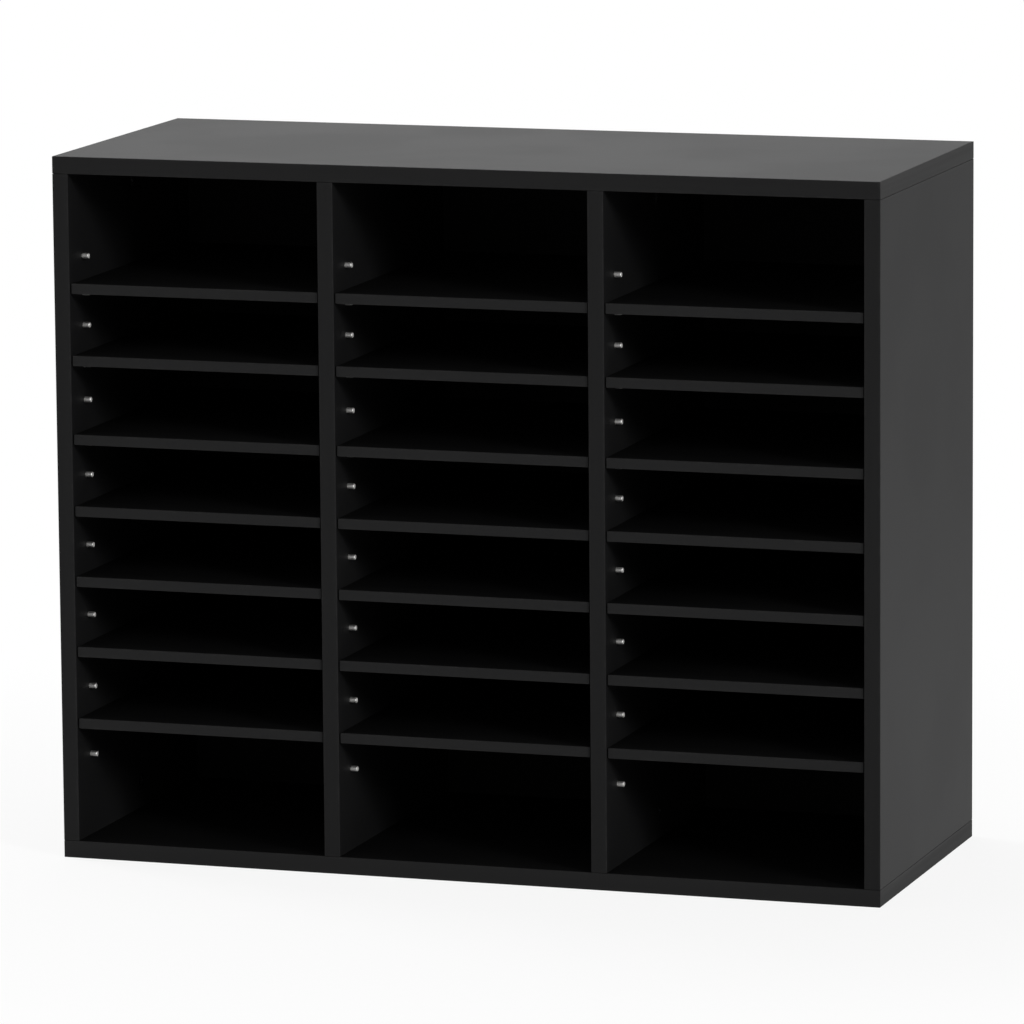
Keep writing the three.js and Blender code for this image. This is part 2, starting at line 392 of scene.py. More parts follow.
class NodeSheet:
    """A node tree that is being laid out."""

    def __init__(self, tree: bpy.types.NodeTree) -> None:
        """Starts from an empty tree."""
        self.tree = tree
        self.tree.nodes.clear()

    def add(self, kind: str, inputs: dict[str, object] | None = None, **settings: object) -> bpy.types.Node:
        """Adds a node.

        Args:
            kind: The node's type.
            inputs: Values or sockets for its inputs, by the inputs' names.
            **settings: The node's own settings.

        Returns:
            The new node.
        """
        node = self.tree.nodes.new(kind)
        for setting, value in settings.items():
            setattr(node, setting, value)
        for name, value in (inputs or {}).items():
            self.feed(node.inputs[name], value)
        return node

    def feed(self, target: bpy.types.NodeSocket, value: object) -> None:
        """Links a socket to an input, or sets a plain value there.

        Args:
            target: The input.
            value: The socket or the value.
        """
        if isinstance(value, bpy.types.NodeSocket):
            self.tree.links.new(value, target)
        else:
            target.default_value = value

    def math(self, operation: str, *values: object) -> bpy.types.NodeSocket:
        """Adds a Math node.

        Args:
            operation: The node's operation.
            *values: Sockets or numbers for its inputs, in order.

        Returns:
            The node's result.
        """
        node = self.add("ShaderNodeMath", operation=operation)
        for target, value in zip(node.inputs, values):
            self.feed(target, value)
        return node.outputs[0]

    def blend(self, factor: object, first: object, second: object) -> bpy.types.NodeSocket:
        """Adds a Mix node for colours.

        Args:
            factor: The share of the second colour.
            first: The first colour or its socket.
            second: The second colour or its socket.

        Returns:
            The mixed colour.
        """
        node = self.add("ShaderNodeMix", data_type="RGBA")
        colour_inputs = [socket for socket in node.inputs if socket.type == "RGBA"]
        self.feed(node.inputs[0], factor)
        self.feed(colour_inputs[0], first)
        self.feed(colour_inputs[1], second)
        return next(socket for socket in node.outputs if socket.type == "RGBA")

    def mix_shaders(self, factor: object, first: object, second: object) -> bpy.types.NodeSocket:
        """Adds a Mix Shader node.

        Args:
            factor: The share of the second shader.
            first: The first shader's socket.
            second: The second shader's socket.

        Returns:
            The mixed shader.
        """
        node = self.add("ShaderNodeMixShader")
        for target, value in zip(node.inputs, (factor, first, second)):
            self.feed(target, value)
        return node.outputs[0]

    def span(self, value: object, start: Span, end: Span = FULL_RANGE) -> bpy.types.NodeSocket:
        """Adds a Map Range node with soft ends.

        Args:
            value: The value to map.
            start: The range that the value comes from.
            end: The range that it goes to.

        Returns:
            The mapped value.
        """
        names = ("From Min", "From Max", "To Min", "To Max")
        inputs = {"Value": value, **dict(zip(names, (*start, *end)))}
        return self.add("ShaderNodeMapRange", inputs, interpolation_type="SMOOTHSTEP").outputs[0]

    def place(self) -> bpy.types.NodeSocket:
        """The point of the surface in the piece's own metres."""
        return self.add("ShaderNodeTexCoord").outputs["Object"]

    def facing(self, axis: str) -> bpy.types.NodeSocket:
        """How much of the surface's normal lies along an axis, from -1 to 1."""
        normal = self.add("ShaderNodeNewGeometry").outputs["Normal"]
        return self.add("ShaderNodeSeparateXYZ", {"Vector": normal}).outputs[axis]

    def noise(self, point: object, scale: object, detail: float = 2.0) -> bpy.types.NodeSocket:
        """Adds a Noise Texture node, which is about 0.5 on average.

        Args:
            point: Where the noise is read.
            scale: How many features there are in a metre.
            detail: How many finer layers are added.

        Returns:
            The noise.
        """
        inputs = {"Vector": point, "Scale": scale, "Detail": detail}
        return self.add("ShaderNodeTexNoise", inputs).outputs[0]

    def bands(self, point: object, direction: str, pitch: float) -> bpy.types.NodeSocket:
        """Adds a Wave Texture node with plain bands, from 0 to 1.

        Args:
            point: Where the wave is read.
            direction: The axis that the bands follow one another along.
            pitch: The distance from one band to the next.

        Returns:
            The wave.
        """
        inputs = {"Vector": point, "Scale": 2 * math.pi / (WAVE_RADIANS * pitch)}
        return self.add("ShaderNodeTexWave", inputs, bands_direction=direction).outputs["Fac"]

    def effect(self, effect: "Effect", **values: object) -> bpy.types.NodeOutputs:
        """Places an effect's node group.

        Args:
            effect: The effect.
            **values: Values for its inputs, with _ for a space in their names.

        Returns:
            The group's outputs.
        """
        node = self.add("ShaderNodeGroup", node_tree=effect.tree())
        for name, value in values.items():
            self.feed(node.inputs[name.replace("_", " ")], value)
        return node.outputs

    def bump(self, height: object, depth: float) -> bpy.types.NodeSocket:
        """Adds a Bump node, where a height of 1 is as deep as depth says."""
        return self.add("ShaderNodeBump", {"Height": height, "Strength": 1.0, "Distance": depth}).outputs[0]


class Effect(ABC):
    """A surface effect that several finishes share, kept as one node group."""

    name: str
    inputs: dict[str, Socket]
    outputs: tuple[str, ...]

    def tree(self) -> bpy.types.NodeTree:
        """Finds the effect's node group, or builds it the first time.

        Returns:
            The node group.
        """
        found = bpy.data.node_groups.get(self.name)
        if found:
            return found
        tree = bpy.data.node_groups.new(self.name, "ShaderNodeTree")
        sheet = NodeSheet(tree)
        for name, kind in self.inputs.items():
            tree.interface.new_socket(name, in_out="INPUT", socket_type=kind.value)
        for name in self.outputs:
            tree.interface.new_socket(name, in_out="OUTPUT", socket_type=Socket.NUMBER.value)
        given = sheet.add("NodeGroupInput").outputs
        results = sheet.add("NodeGroupOutput").inputs
        for name, socket in self.lay_out(sheet, given).items():
            sheet.feed(results[name], socket)
        return tree

    @abstractmethod
    def lay_out(self, sheet: NodeSheet, given: bpy.types.NodeOutputs) -> dict[str, bpy.types.NodeSocket]:
        """Lays out the effect's nodes.

        Args:
            sheet: The group's sheet.
            given: The group's inputs.

        Returns:
            A socket for each of the group's outputs.
        """


class PearlGrain(Effect):
    """The fine pebbles of a pressed facing, and the slow drift of its tone."""

    name = "pearl_grain"
    inputs = {"Pebble Scale": Socket.NUMBER, "Drift Scale": Socket.NUMBER}
    outputs = ("Height", "Drift")
    fine_ratio = 2.6
    fine_share = 0.45
    cloud_detail = 4.0
    cloud_range = (0.3, 0.7)

    def lay_out(self, sheet: NodeSheet, given: bpy.types.NodeOutputs) -> dict[str, bpy.types.NodeSocket]:
        """Lays out pebbles, a finer noise over them and a broad cloud.

        Args:
            sheet: The group's sheet.
            given: The scales of the pebbles and of the drift.

        Returns:
            The pebbles' height and the drift.
        """
        point = sheet.place()
        cells = sheet.add("ShaderNodeTexVoronoi", {"Vector": point, "Scale": given["Pebble Scale"]})
        fine = sheet.noise(point, sheet.math("MULTIPLY", given["Pebble Scale"], self.fine_ratio))
        pebbles = sheet.math("SUBTRACT", 1.0, cells.outputs["Distance"])
        height = sheet.math("MULTIPLY_ADD", fine, self.fine_share, pebbles)
        cloud = sheet.noise(point, given["Drift Scale"], self.cloud_detail)
        return {"Height": height, "Drift": sheet.span(cloud, self.cloud_range)}


class EdgeWear(Effect):
    """Rubbed arrises, broken up as handling leaves them."""

    name = "edge_wear_marks"
    inputs = {"Breakup Scale": Socket.NUMBER, "Amount": Socket.NUMBER}
    outputs = ("Mask",)
    falloff = 2.5
    breakup_detail = 5.0
    breakup_range = (0.42, 0.68)

    def lay_out(self, sheet: NodeSheet, given: bpy.types.NodeOutputs) -> dict[str, bpy.types.NodeSocket]:
        """Lays out the nearness to an edge, cut by a noise.

        Args:
            sheet: The group's sheet.
            given: The noise's scale and the amount of wear.

        Returns:
            The mask of what is rubbed.
        """
        near = sheet.add("ShaderNodeAttribute", attribute_name=WEAR).outputs["Fac"]
        noise = sheet.noise(sheet.place(), given["Breakup Scale"], self.breakup_detail)
        broken = sheet.span(noise, self.breakup_range)
        spread = sheet.math("MULTIPLY", sheet.math("POWER", near, self.falloff), broken)
        return {"Mask": sheet.math("MULTIPLY", spread, given["Amount"])}


class SettledDust(Effect):
    """Specks and a thin film of dust on what faces up."""

    name = "settled_dust"
    inputs = {"Speck Scale": Socket.NUMBER, "Amount": Socket.NUMBER}
    outputs = ("Mask",)
    level_range = (0.8, 0.99)
    speck_detail = 3.0
    speck_range = (0.63, 0.74)
    film_scale = 6.0
    film_detail = 4.0
    film_range = (0.4, 0.8)
    film_cover = (0.0, 0.35)

    def lay_out(self, sheet: NodeSheet, given: bpy.types.NodeOutputs) -> dict[str, bpy.types.NodeSocket]:
        """Lays out specks and a film, both only on level faces.

        Args:
            sheet: The group's sheet.
            given: The specks' scale and the amount of dust.

        Returns:
            The mask of what is dusty.
        """
        facing_up = sheet.span(sheet.facing("Z"), self.level_range)
        point = sheet.place()
        specks = sheet.span(sheet.noise(point, given["Speck Scale"], self.speck_detail), self.speck_range)
        film_noise = sheet.noise(point, self.film_scale, self.film_detail)
        film = sheet.span(film_noise, self.film_range, self.film_cover)
        cover = sheet.math("MULTIPLY", facing_up, sheet.math("MAXIMUM", specks, film))
        return {"Mask": sheet.math("MULTIPLY", cover, given["Amount"])}


class RunningStreaks(Effect):
    """Fine streaks along one direction, as an edge band shows."""

    name = "running_streaks"
    inputs = {"Stretch": Socket.VECTOR}
    outputs = ("Height", "Tone")
    streak_detail = 3.0
    tone_scale = 0.22
    tone_range = (0.3, 0.7)

    def lay_out(self, sheet: NodeSheet, given: bpy.types.NodeOutputs) -> dict[str, bpy.types.NodeSocket]:
        """Lays out a noise that is drawn out along the streaks.

        Args:
            sheet: The group's sheet.
            given: The noise's scale along each axis.

        Returns:
            The streaks' height and tone.
        """
        drawn = sheet.add("ShaderNodeVectorMath", operation="MULTIPLY")
        sheet.feed(drawn.inputs[0], sheet.place())
        sheet.feed(drawn.inputs[1], given["Stretch"])
        height = sheet.noise(drawn.outputs[0], 1.0, self.streak_detail)
        tone = sheet.noise(drawn.outputs[0], self.tone_scale)
        return {"Height": height, "Tone": sheet.span(tone, self.tone_range)}


# Finishes


class Surface(NamedTuple):
    """What changes over a finish: its colour, the drift of its gloss, its relief and the relief's depth."""

    colour: bpy.types.NodeSocket
    drift: bpy.types.NodeSocket
    height: bpy.types.NodeSocket
    depth: float


@dataclass(frozen=True)
class Finish(ABC):
    """A procedural finish with one Principled BSDF."""

    name: str
    colour: Colour
    specular: float
    roughness: Span
    metallic: float = 0.0

    def make(self) -> bpy.types.Material:
        """Finds the finish's material, or makes it the first time.

        Returns:
            The material.
        """
        found = bpy.data.materials.get(self.name)
        if found:
            return found
        material = bpy.data.materials.new(self.name)
        material.use_nodes = True
        material.diffuse_color = self.colour
        sheet = NodeSheet(material.node_tree)
        surface = self.lay_out(sheet)
        inputs = {
            "Base Color": surface.colour,
            "Roughness": sheet.span(surface.drift, FULL_RANGE, self.roughness),
            "Normal": sheet.bump(surface.height, surface.depth),
            "Specular IOR Level": self.specular,
            "Metallic": self.metallic,
        }
        shader = sheet.add("ShaderNodeBsdfPrincipled", inputs)
        sheet.add("ShaderNodeOutputMaterial", {"Surface": shader.outputs[0]})
        return material

    @abstractmethod
    def lay_out(self, sheet: NodeSheet) -> Surface:
        """Lays out what changes over the surface.

        Args:
            sheet: The material's sheet.

        Returns:
            The sockets that the shader takes.
        """


@dataclass(frozen=True)
class FacingFinish(Finish):
    """Black melamine facing: pearl grain, drifting tone, rubbed arrises and a little dust."""

    drift_colour: Colour = (0.0054, 0.0054, 0.0056, 1.0)
    worn_colour: Colour = (0.026, 0.0255, 0.025, 1.0)
    dust_colour: Colour = (0.04, 0.0385, 0.036, 1.0)
    pebble_scale: float = 760.0
    pebble_depth: float = 0.022 * MM
    drift_scale: float = 7.0
    wear_breakup: float = 140.0
    wear_amount: float = 0.2
    speck_scale: float = 420.0
    dust_amount: float = 0.012

    def lay_out(self, sheet: NodeSheet) -> Surface:
        """Lays out the facing's tone, wear, dust and pebbles.

        Args:
            sheet: The material's sheet.

        Returns:
            What the shader takes.
        """
        grain = sheet.effect(PearlGrain(), Pebble_Scale=self.pebble_scale, Drift_Scale=self.drift_scale)
        wear = sheet.effect(EdgeWear(), Breakup_Scale=self.wear_breakup, Amount=self.wear_amount)
        dust = sheet.effect(SettledDust(), Speck_Scale=self.speck_scale, Amount=self.dust_amount)
        tone = sheet.blend(grain["Drift"], self.colour, self.drift_colour)
        rubbed = sheet.blend(wear["Mask"], tone, self.worn_colour)
        dusty = sheet.blend(dust["Mask"], rubbed, self.dust_colour)
        return Surface(dusty, grain["Drift"], grain["Height"], self.pebble_depth)


@dataclass(frozen=True)
class BandFinish(Finish):
    """Black edge band: smoother than the facing, with fine streaks along its run."""

    run: int = 0
    worn_colour: Colour = (0.028, 0.0275, 0.027, 1.0)
    drift_colour: Colour = (0.0105, 0.0105, 0.0107, 1.0)
    along: float = 14.0
    across: float = 900.0
    streak_depth: float = 0.012 * MM
    wear_breakup: float = 110.0
    wear_amount: float = 0.25

    def lay_out(self, sheet: NodeSheet) -> Surface:
        """Lays out the band's tone, wear and streaks.

        Args:
            sheet: The material's sheet.

        Returns:
            What the shader takes.
        """
        stretch = [self.along if axis == self.run else self.across for axis in AXES]
        streaks = sheet.effect(RunningStreaks(), Stretch=stretch)
        wear = sheet.effect(EdgeWear(), Breakup_Scale=self.wear_breakup, Amount=self.wear_amount)
        tone = sheet.blend(streaks["Tone"], self.colour, self.drift_colour)
        rubbed = sheet.blend(wear["Mask"], tone, self.worn_colour)
        return Surface(rubbed, streaks["Tone"], streaks["Height"], self.streak_depth)


@dataclass(frozen=True)
class HardboardFinish(Finish):
    """Black painted hardboard: fibres on both faces, and a pressed mesh on the rear one."""

    fibre_colour: Colour = (0.006, 0.0058, 0.0056, 1.0)
    fibre_scale: float = 520.0
    fibre_share: float = 0.25
    drift_scale: float = 5.0
    mesh_pitch: float = 2.4 * MM
    mesh_depth: float = 0.12 * MM
    rearward_range: Span = (0.5, 0.9)

    def lay_out(self, sheet: NodeSheet) -> Surface:
        """Lays out the fibres and the rear face's mesh.

        Args:
            sheet: The material's sheet.

        Returns:
            What the shader takes.
        """
        grain = sheet.effect(PearlGrain(), Pebble_Scale=self.fibre_scale, Drift_Scale=self.drift_scale)
        point = sheet.place()
        wires = sheet.math("MAXIMUM", *[sheet.bands(point, axis, self.mesh_pitch) for axis in "XZ"])
        imprint = sheet.math("MULTIPLY", wires, sheet.span(sheet.facing("Y"), self.rearward_range))
        height = sheet.math("MULTIPLY_ADD", grain["Height"], self.fibre_share, imprint)
        tone = sheet.blend(grain["Drift"], self.colour, self.fibre_colour)
        return Surface(tone, grain["Drift"], height, self.mesh_depth)


@dataclass(frozen=True)
class NickelFinish(Finish):
    """Nickel-plated steel: turned lines round the pin, and a slightly uneven gloss."""

    metallic: float = 1.0
    dull_colour: Colour = (0.52, 0.515, 0.5, 1.0)
    grain_scale: float = 1800.0
    grain_share: float = 0.3
    drift_scale: float = 420.0
    line_pitch: float = 0.22 * MM
    line_depth: float = 0.006 * MM

    def lay_out(self, sheet: NodeSheet) -> Surface:
        """Lays out the plating's tone and turned lines.

        Args:
            sheet: The material's sheet.

        Returns:
            What the shader takes.
        """
        grain = sheet.effect(PearlGrain(), Pebble_Scale=self.grain_scale, Drift_Scale=self.drift_scale)
        lines = sheet.bands(sheet.place(), "X", self.line_pitch)
        height = sheet.math("MULTIPLY_ADD", grain["Height"], self.grain_share, lines)
        tone = sheet.blend(grain["Drift"], self.colour, self.dull_colour)
        return Surface(tone, grain["Drift"], height, self.line_depth)


@dataclass(frozen=True)
class ZincFinish(Finish):
    """Blackened cast zinc: a cast grain, with bare metal where the driver turns it."""

    metallic: float = 1.0
    bare_colour: Colour = (0.09, 0.09, 0.092, 1.0)
    cast_scale: float = 1500.0
    cast_depth: float = 0.02 * MM
    drift_scale: float = 260.0
    drift_share: float = 0.4
    wear_breakup: float = 900.0
    wear_amount: float = 0.8

    def lay_out(self, sheet: NodeSheet) -> Surface:
        """Lays out the casting's tone, bare metal and grain.

        Args:
            sheet: The material's sheet.

        Returns:
            What the shader takes.
        """
        grain = sheet.effect(PearlGrain(), Pebble_Scale=self.cast_scale, Drift_Scale=self.drift_scale)
        wear = sheet.effect(EdgeWear(), Breakup_Scale=self.wear_breakup, Amount=self.wear_amount)
        thin = sheet.math("MULTIPLY", grain["Drift"], self.drift_share)
        tone = sheet.blend(sheet.math("MAXIMUM", wear["Mask"], thin), self.colour, self.bare_colour)
        return Surface(tone, grain["Drift"], grain["Height"], self.cast_depth)


FACING = FacingFinish("black_facing", (0.004, 0.004, 0.0042, 1.0), specular=0.118, roughness=(0.585, 0.61))
# A darker copy of the facing for the shelves and the bottom board: its darker colour is painted shade on the
# pigeonholes' floors, which lie in shadow.
SHELF_FACING_PAINTED_SHADE = FacingFinish(
    "black_shelf_facing_painted_shade",
    (0.0016, 0.0016, 0.0017, 1.0),
    specular=0.07,
    roughness=(0.6, 0.64),
    drift_colour=(0.002, 0.002, 0.0021, 1.0),
)
BAND_GLOSS = {"band_across": 0.109, "band_endwise": 0.1, "band_upright": 0.102}
BANDS = [
    BandFinish(name, (0.009, 0.009, 0.0092, 1.0), specular=gloss, roughness=(0.6, 0.64), run=run)
    for run, (name, gloss) in enumerate(BAND_GLOSS.items())
]
# A lighter copy of the front band for the shelves and the bottom board: its lighter colour is painted light,
# which lifts the shelf fronts and the bottom rail to the brightness of the other fronts.
SHELF_BAND_PAINTED_LIGHT = BandFinish("shelf_band_painted_light", (0.0105, 0.0105, 0.0107, 1.0), specular=0.122, roughness=(0.56, 0.6))
LOW_BANDS_PAINTED_LIGHT = [SHELF_BAND_PAINTED_LIGHT, *BANDS[1:]]
HARDBOARD = HardboardFinish(
    "black_hardboard", (0.004, 0.004, 0.0039, 1.0), specular=0.1, roughness=(0.72, 0.82)
)
NICKEL = NickelFinish("satin_nickel", (0.66, 0.655, 0.64, 1.0), specular=0.5, roughness=(0.46, 0.54))
# A rougher copy of the nickel for the pins' end faces: its lighter colour is a painted highlight, standing in
# for the lamp light that the ends catch.
END_NICKEL_PAINTED_HIGHLIGHT = NickelFinish("end_nickel_painted_highlight", (0.78, 0.775, 0.76, 1.0), specular=0.5, roughness=(0.8, 0.88))
ZINC = ZincFinish("blackened_zinc", (0.03, 0.03, 0.032, 1.0), specular=0.5, roughness=(0.35, 0.5))


# The shared layout


@dataclass(frozen=True)
class Layout:
    """Sizes and places that the sub-assemblies share."""

    columns: tuple[str, ...] = ("left", "centre", "right")
    shelves_per_column: int = 7
    pin_rows: int = 8
    upright_names: tuple[str, ...] = ("left_side", "left_divider", "right_divider", "right_side")
    side_thickness: float = 14 * MM
    divider_thickness: float = 14 * MM
    groove_depth: float = 7 * MM
    groove_clearance: float = 0.3 * MM
    pin_diameter: float = 5 * MM
    pin_protrusion: float = 6 * MM
    pin_socket_depth: float = 9 * MM
    pin_seat_gap: float = 0.2 * MM
    rear_pin_setback: float = 31 * MM

    def is_divider(self, upright: str) -> bool:
        """Whether an upright stands between two columns."""
        return upright.endswith("divider")

    def has_spare_nodes(self, upright: str) -> bool:
        """Whether an upright's spare pins are nodes of their own."""
        return upright != "right_side"

    def upright_block(self, upright: str) -> Block:
        """The space of an upright's board, without its pins and dowels.

        Args:
            upright: The upright's name.

        Returns:
            The board's block.
        """
        base = node_block("bottom_panel")
        if self.is_divider(upright):
            left = node_block(upright).centre.x - self.divider_thickness / 2
            right = left + self.divider_thickness
            rear = node_block("back_panel").low.y - self.groove_clearance
        else:
            left = base.low.x if upright == "left_side" else base.high.x - self.side_thickness
            right = left + self.side_thickness
            rear = base.high.y
        low = Vector((left, base.low.y, base.high.z))
        high = Vector((right, rear, node_block("top_panel").low.z))
        return Block(low, high)

    def inner_sides(self, upright: str) -> tuple[Side, ...]:
        """The faces of an upright that look into a column.

        Args:
            upright: The upright's name.

        Returns:
            Both faces of a divider, or the inner face of a side.
        """
        if self.is_divider(upright):
            return (Side.LEFT, Side.RIGHT)
        return (Side.RIGHT,) if upright == "left_side" else (Side.LEFT,)

    def spare_levels(self) -> list[float]:
        """The heights of the spare pins, from the bottom row up."""
        return [node_block(f"spare_pin_left_side_{row + 1}").centre.z for row in range(self.pin_rows)]

    def carrier_levels(self) -> list[float]:
        """The heights of the pins that carry shelves, from the bottom up."""
        undersides = [node_block(f"shelf_left_{row + 1}").low.z for row in range(self.shelves_per_column)]
        return [underside - self.pin_seat_gap - self.pin_diameter / 2 for underside in undersides]

    def front_pin_y(self) -> float:
        """How deep the front pins stand."""
        return node_block("spare_pin_left_side_1").centre.y

    def rear_pin_y(self) -> float:
        """How deep the rear pins stand."""
        return node_block("back_panel").low.y - self.rear_pin_setback

    def carrier_places(self) -> list[Span]:
        """The Y and Z of the pins that carry shelves."""
        return [(y, z) for z in self.carrier_levels() for y in (self.front_pin_y(), self.rear_pin_y())]

    def spare_places(self) -> list[Span]:
        """The Y and Z of the spare pins, from the bottom row up."""
        return [(self.front_pin_y(), z) for z in self.spare_levels()]


# Boards


@dataclass
class Board:
    """A faced board with rounded arrises, bands on its edges and a fine seam behind each band.

    A butted face touches its neighbour only in its middle, which leaves a fine dark line round the joint.
    """

    name: str
    block: Block
    facing: Finish = FACING
    bands: tuple[Side, ...] = (Side.FRONT,)
    band_finishes: Sequence[BandFinish] = tuple(BANDS)
    butted: tuple[Side, ...] = ()
    butt_relief: float = 0.18 * MM
    butt_rim: float = 2.0 * MM
    arris: float = 0.45 * MM
    arris_steps: int = 3
    sharp_degrees: float = 40.0
    band_thickness: float = 1.0 * MM
    seam_width: float = 0.3 * MM
    seam_depth: float = 0.14 * MM
    wear_reach: float = 3.0 * MM
    narrowest_framed: float = 7.0 * MM

    def model(self, cutters: Sequence[bpy.types.Object] = ()) -> bpy.types.Object:
        """Models the board and dresses it.

        Args:
            cutters: Shapes that are cut out of the board.

        Returns:
            The finished board.
        """
        piece = add_block(self.name, self.relieved_block())
        with edit_mode(piece):
            self.round_arrises()
            for side in self.butted:
                self.raise_middle(piece, side)
            for side in self.bands:
                self.press_seam(piece, side)
            self.frame_faces(piece)
        if cutters:
            cut(piece, cutters)
        smooth_rounds(piece, self.sharp_degrees)
        mark_wear(piece, self.rubbed)
        self.dress(piece)
        return piece

    def relieved_block(self) -> Block:
        """Cuts the board's block back at its butted faces.

        Returns:
            The block that the board starts from.
        """
        low, high = self.block.low.copy(), self.block.high.copy()
        for side in self.butted:
            corner = high if side.way > 0 else low
            corner[side.axis] -= side.way * self.butt_relief
        return Block(low, high)

    def round_arrises(self) -> None:
        """Rounds all twelve edges of the block that is open in edit mode."""
        bpy.ops.mesh.select_all(action="SELECT")
        bpy.ops.mesh.bevel(offset=self.arris, segments=self.arris_steps, affect="EDGES")

    def raise_middle(self, piece: bpy.types.Object, side: Side) -> None:
        """Raises the middle of a butted face of a board in edit mode to where it touches its neighbour."""
        pick(piece, Pick.FACES, lambda face: face.normal.dot(side.normal) > SQUARE_ON)
        bpy.ops.mesh.inset(thickness=self.butt_rim, depth=self.butt_relief)

    def seam_place(self, side: Side) -> float:
        """Where the seam behind a band lies along the side's axis."""
        return self.block.face(side) - side.way * self.band_thickness

    def press_seam(self, piece: bpy.types.Object, side: Side) -> None:
        """Cuts three loops round the board behind a band, and presses the middle one in.

        Args:
            piece: The board, in edit mode.
            side: The side that carries the band.
        """
        seam = self.seam_place(side)
        for offset in (-self.seam_width / 2, 0.0, self.seam_width / 2):
            point = [seam + offset if axis == side.axis else 0.0 for axis in AXES]
            bpy.ops.mesh.select_all(action="SELECT")
            bpy.ops.mesh.bisect(plane_co=point, plane_no=side.normal)
        pick(piece, Pick.VERTS, lambda vert: abs(vert.co[side.axis] - seam) < FLATNESS)
        size = self.block.size
        inwards = [1.0 if axis == side.axis else 1 - 2 * self.seam_depth / size[axis] for axis in AXES]
        bpy.ops.transform.resize(value=inwards, center_override=self.block.centre)

    def frame_faces(self, piece: bpy.types.Object) -> None:
        """Gives each flat face of a board in edit mode a border, which holds the wear close to its edges."""
        pick(piece, Pick.FACES, self.is_panel)
        bpy.ops.mesh.inset(thickness=self.wear_reach, use_individual=True)

    def is_panel(self, face: bmesh.types.BMFace) -> bool:
        """Says whether a face is flat to an axis and wide enough for a border.

        Args:
            face: A face of the board.

        Returns:
            Whether the face gets a border.
        """
        places = [[vert.co[axis] for vert in face.verts] for axis in AXES]
        extents = sorted(max(place) - min(place) for place in places)
        return extents[0] < FLATNESS and extents[1] > self.narrowest_framed

    def rubbed(self, point: Vector) -> float:
        """How near a point is to an edge of the board, from 0 to 1."""
        beyond = self.block.edge_distance(point) - self.arris
        return min(1.0, max(0.0, 1 - beyond / (self.wear_reach - self.arris)))

    def band_run(self, side: Side) -> int:
        """The axis that the band on a side runs along."""
        return max((axis for axis in AXES if axis != side.axis), key=lambda axis: self.block.size[axis])

    def dress(self, piece: bpy.types.Object) -> None:
        """Gives the faces the facing's material, and what lies beyond a seam its band's.

        Args:
            piece: The modelled board.
        """
        materials = piece.data.materials
        materials.append(self.facing.make())
        slots = {}
        for side in self.bands:
            run = self.band_run(side)
            if run not in slots:
                slots[run] = len(materials)
                materials.append(self.band_finishes[run].make())
        for polygon in piece.data.polygons:
            for side in self.bands:
                if side.way * (polygon.center[side.axis] - self.seam_place(side)) > 0:
                    polygon.material_index = slots[self.band_run(side)]


@dataclass
class LevelBoards:
    """The top and bottom boards, each grooved for the back panel."""

    layout: Layout
    bands: tuple[Side, ...] = (Side.FRONT, Side.LEFT, Side.RIGHT)
    groove_overrun: float = 1.0 * MM

    def build(self) -> None:
        """Models both boards and seats them."""
        for node, inner, facing, band_finishes in (
            # The bottom board takes the darker shelf facing, painted shade on the lowest pigeonholes' floor,
            # and the lighter front band, painted light on its front.
            ("bottom_panel", Side.OVER, SHELF_FACING_PAINTED_SHADE, LOW_BANDS_PAINTED_LIGHT),
            ("top_panel", Side.UNDER, FACING, BANDS),
        ):
            board = Board(f"board_{node}", node_block(node), facing, self.bands, band_finishes)
            piece = board.model([self.groove(board.block, inner)])
            hand_in(piece, CABINET, Slot.LAMINATE, node)

    def groove(self, block: Block, inner: Side) -> bpy.types.Object:
        """A cutter for the groove that the back panel stands in.

        Args:
            block: The board's block.
            inner: The face that looks into the cabinet.

        Returns:
            The cutter.
        """
        back = node_block("back_panel")
        clearance = self.layout.groove_clearance
        depth = self.layout.groove_depth
        face = block.face(inner)
        tongue = abs(face - back.face(Side.UNDER if inner is Side.OVER else Side.OVER))
        end_room = depth - tongue
        lower, upper = sorted((face + inner.way * self.groove_overrun, face - inner.way * depth))
        low = Vector((back.low.x - end_room, back.low.y - clearance, lower))
        high = Vector((back.high.x + end_room, back.high.y + clearance, upper))
        return add_block("groove_cutter", Block(low, high))


